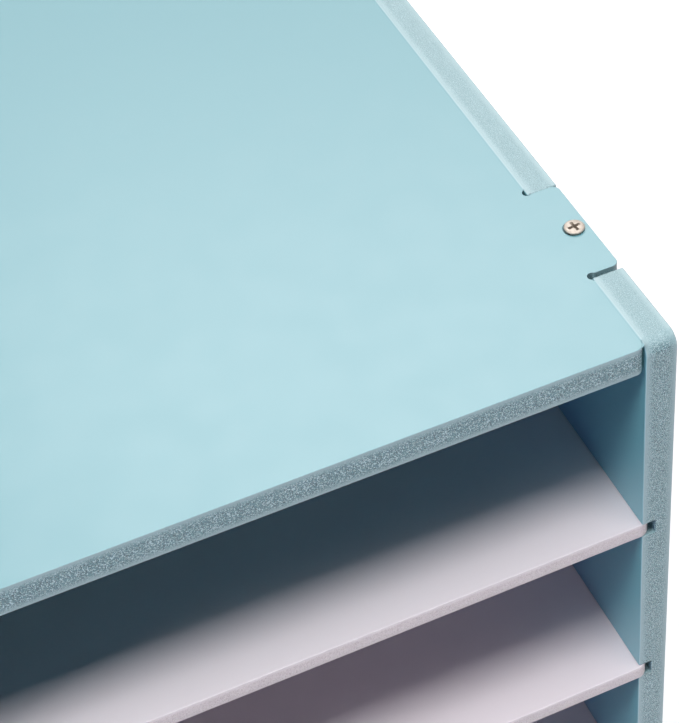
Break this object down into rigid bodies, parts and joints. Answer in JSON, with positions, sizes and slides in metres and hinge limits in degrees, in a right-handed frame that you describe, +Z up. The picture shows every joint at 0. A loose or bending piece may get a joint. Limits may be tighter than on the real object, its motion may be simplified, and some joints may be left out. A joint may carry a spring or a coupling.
{
  "type": "mail sorter",
  "caption": "Desktop mail sorter: an open-fronted case of painted boards in two columns, with loose shelves that slide out of grooves.",
  "frame": {"origin": "on the desk under the middle of the case, at the underside of the feet", "axes": "+X to the sorter's right as seen from the front, +Y from front to back, +Z up"},
  "size_m": [0.5, 0.3007, 0.4073],
  "materials": {
    "aqua_board": "satin aqua paint on fibreboard, rougher on the sawn edges",
    "pale_board": "satin pale lilac-white paint on thin fibreboard",
    "screw_steel": "nickel-plated steel",
    "foot_rubber": "matt black rubber"
  },
  "bodies": {
    "case": {"right_side_panel": "aqua_board", "left_side_panel": "aqua_board", "top_panel": "aqua_board", "bottom_panel": "aqua_board", "centre_divider": "aqua_board", "back_panel": "pale_board", "top_tab_screws": "screw_steel", "top_divider_screws": "screw_steel", "bottom_tab_screws": "screw_steel", "bottom_divider_screws": "screw_steel", "foot_front_left": "foot_rubber", "foot_front_right": "foot_rubber", "foot_rear_left": "foot_rubber", "foot_rear_right": "foot_rubber"},
    "shelf_left_1": {"shelf_left_1": "pale_board"},
    "shelf_left_2": {"shelf_left_2": "pale_board"},
    "shelf_left_3": {"shelf_left_3": "pale_board"},
    "shelf_left_4": {"shelf_left_4": "pale_board"},
    "shelf_left_5": {"shelf_left_5": "pale_board"},
    "shelf_right_1": {"shelf_right_1": "pale_board"},
    "shelf_right_2": {"shelf_right_2": "pale_board"},
    "shelf_right_3": {"shelf_right_3": "pale_board"},
    "shelf_right_4": {"shelf_right_4": "pale_board"},
    "shelf_right_5": {"shelf_right_5": "pale_board"}
  },
  "joints": [
    {"name": "slide_left_1", "type": "slide", "parent": "case", "child": "shelf_left_1", "axis": [0, -1, 0], "range_m": [-0.0008, 0.3]},
    {"name": "slide_left_2", "type": "slide", "parent": "case", "child": "shelf_left_2", "axis": [0, -1, 0], "range_m": [-0.00165, 0.3]},
    {"name": "slide_left_3", "type": "slide", "parent": "case", "child": "shelf_left_3", "axis": [0, -1, 0], "range_m": [-0.0008, 0.3]},
    {"name": "slide_left_4", "type": "slide", "parent": "case", "child": "shelf_left_4", "axis": [0, -1, 0], "range_m": [-0.00165, 0.3]},
    {"name": "slide_left_5", "type": "slide", "parent": "case", "child": "shelf_left_5", "axis": [0, -1, 0], "range_m": [-0.0008, 0.3]},
    {"name": "slide_right_1", "type": "slide", "parent": "case", "child": "shelf_right_1", "axis": [0, -1, 0], "range_m": [-0.0008, 0.3]},
    {"name": "slide_right_2", "type": "slide", "parent": "case", "child": "shelf_right_2", "axis": [0, -1, 0], "range_m": [-0.00165, 0.3]},
    {"name": "slide_right_3", "type": "slide", "parent": "case", "child": "shelf_right_3", "axis": [0, -1, 0], "range_m": [-0.0008, 0.3]},
    {"name": "slide_right_4", "type": "slide", "parent": "case", "child": "shelf_right_4", "axis": [0, -1, 0], "range_m": [-0.00165, 0.3]},
    {"name": "slide_right_5", "type": "slide", "parent": "case", "child": "shelf_right_5", "axis": [0, -1, 0], "range_m": [-0.0008, 0.3]}
  ]
}
